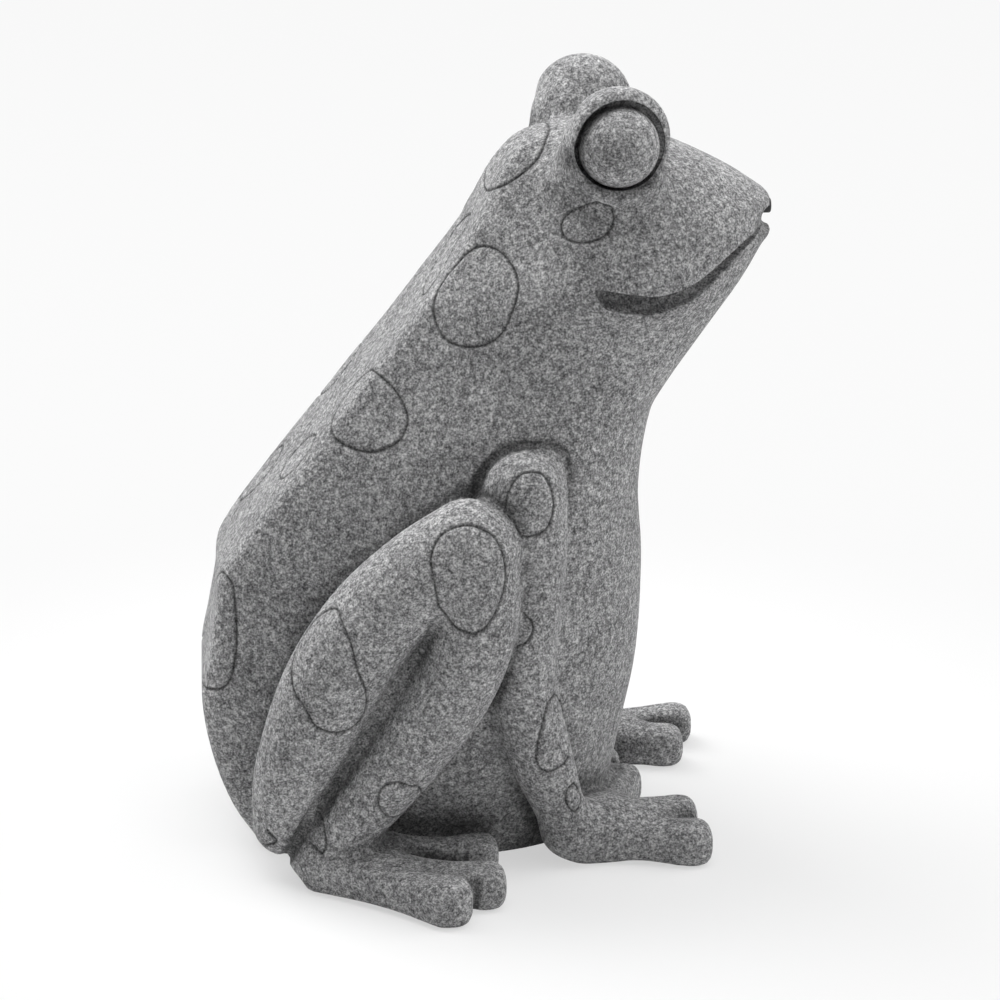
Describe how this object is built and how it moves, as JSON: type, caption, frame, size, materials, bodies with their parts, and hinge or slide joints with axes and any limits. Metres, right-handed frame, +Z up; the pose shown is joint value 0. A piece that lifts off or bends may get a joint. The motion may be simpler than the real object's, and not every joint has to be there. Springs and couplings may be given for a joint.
{
  "type": "frog water spitter",
  "caption": "Seated frog garden ornament in speckled grey, hollow for ballast, with a pump-fed spout in its mouth and a screwed base cover.",
  "frame": {"origin": "centre of the bounding box on the floor", "axes": "+X the way the frog faces, +Y its left side, +Z up"},
  "size_m": [0.2441, 0.2464, 0.3288],
  "materials": {
    "granite_resin": "matt, speckled light and dark like granite",
    "black_plastic": "moulded, lightly grained",
    "black_rubber": "matt",
    "steel": "satin",
    "clear_vinyl": "clear, slightly milky"
  },
  "bodies": {
    "frog": {"body_shell": "granite_resin", "base_cover": "black_plastic", "cover_gasket": "black_rubber", "cover_screw_1": "steel", "cover_screw_2": "steel", "cover_screw_3": "steel", "cover_screw_4": "steel", "cover_screw_5": "steel", "cover_screw_6": "steel", "inlet_elbow": "black_plastic", "inlet_washer": "black_rubber", "inlet_nut": "black_plastic", "supply_tube": "clear_vinyl", "lower_hose_clip": "steel", "upper_hose_clip": "steel", "spout_nozzle": "black_plastic", "nozzle_grommet": "black_rubber"},
    "plug": {"filler_plug": "black_plastic", "plug_seal": "black_rubber"},
    "adapter": {"hose_adapter": "black_plastic"}
  },
  "joints": [
    {"name": "plug_pull", "type": "slide", "parent": "frog", "child": "plug", "axis": [0, 0, -1], "range_m": [0, 0.032]},
    {"name": "adapter_pull", "type": "slide", "parent": "frog", "child": "adapter", "axis": [-1, 0, 0], "range_m": [0, 0.064]}
  ]
}
